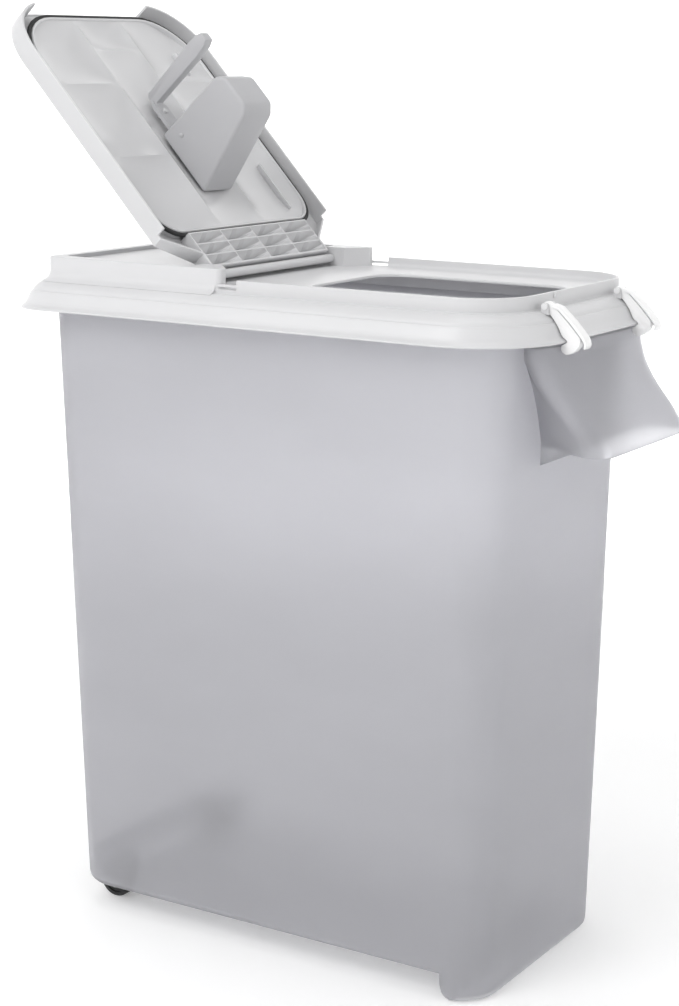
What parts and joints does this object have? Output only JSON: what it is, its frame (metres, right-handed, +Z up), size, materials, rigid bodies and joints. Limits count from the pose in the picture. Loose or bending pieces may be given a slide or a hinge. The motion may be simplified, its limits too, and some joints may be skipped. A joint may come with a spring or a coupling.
{
  "type": "pet food bin",
  "caption": "Tall wheeled translucent food bin with a hand hood and front foot, a lid with a gasketed tip-up pouring flap, a clip-in scoop, snap hooks and rear rollers.",
  "frame": {"origin": "on the ground, under the middle of the box that holds the bin with its flap open", "axes": "+X to the front, where the hood and the pouring opening are; +Y to the bin's left side; +Z up"},
  "size_m": [0.5798, 0.3034, 0.8238],
  "materials": {
    "tub_plastic": "satin translucent",
    "lid_plastic": "satin",
    "flap_plastic": "satin",
    "liner_plastic": "satin",
    "gasket_rubber": "matt",
    "scoop_plastic": "matt",
    "hook_plastic": "gloss",
    "pin_plastic": "satin",
    "axle_steel": "satin",
    "wheel_plastic": "matt",
    "cap_steel": "satin"
  },
  "bodies": {
    "bin": {"tub": "tub_plastic", "axle": "axle_steel", "axle_cap_right": "cap_steel", "axle_cap_left": "cap_steel"},
    "lid": {"lid_frame": "lid_plastic", "hinge_pin_right": "pin_plastic", "hinge_pin_left": "pin_plastic", "hook_pin_right": "pin_plastic", "hook_pin_left": "pin_plastic"},
    "flap": {"flap_shell": "flap_plastic", "flap_liner": "liner_plastic", "flap_gasket": "gasket_rubber", "scoop_peg": "liner_plastic"},
    "measure": {"scoop": "scoop_plastic"},
    "right_hook": {"hook_right": "hook_plastic"},
    "left_hook": {"hook_left": "hook_plastic"},
    "right_roller": {"wheel_right": "wheel_plastic"},
    "left_roller": {"wheel_left": "wheel_plastic"}
  },
  "joints": [
    {"name": "lid_lift", "type": "slide", "parent": "bin", "child": "lid", "axis": [0, 0, 1], "range_m": [0, 0.12]},
    {"name": "flap_hinge", "type": "hinge", "parent": "lid", "child": "flap", "pos_m": [-0.0781, 0, 0.5947], "axis": [0, 1, 0], "range_deg": [0, 132.7]},
    {"name": "scoop_pull", "type": "slide", "parent": "flap", "child": "measure", "axis": [0.7349, 0, 0.6782], "range_m": [0, 0.12]},
    {"name": "right_hook_swing", "type": "hinge", "parent": "lid", "child": "right_hook", "pos_m": [0.2295, -0.068, 0.5883], "axis": [0, -1, 0], "range_deg": [0, 75]},
    {"name": "left_hook_swing", "type": "hinge", "parent": "lid", "child": "left_hook", "pos_m": [0.2295, 0.068, 0.5883], "axis": [0, -1, 0], "range_deg": [0, 75]},
    {"name": "right_wheel_spin", "type": "hinge", "parent": "bin", "child": "right_roller", "pos_m": [-0.197, -0.079, 0.017], "axis": [0, 1, 0], "continuous": true},
    {"name": "left_wheel_spin", "type": "hinge", "parent": "bin", "child": "left_roller", "pos_m": [-0.197, 0.079, 0.017], "axis": [0, 1, 0], "continuous": true}
  ]
}
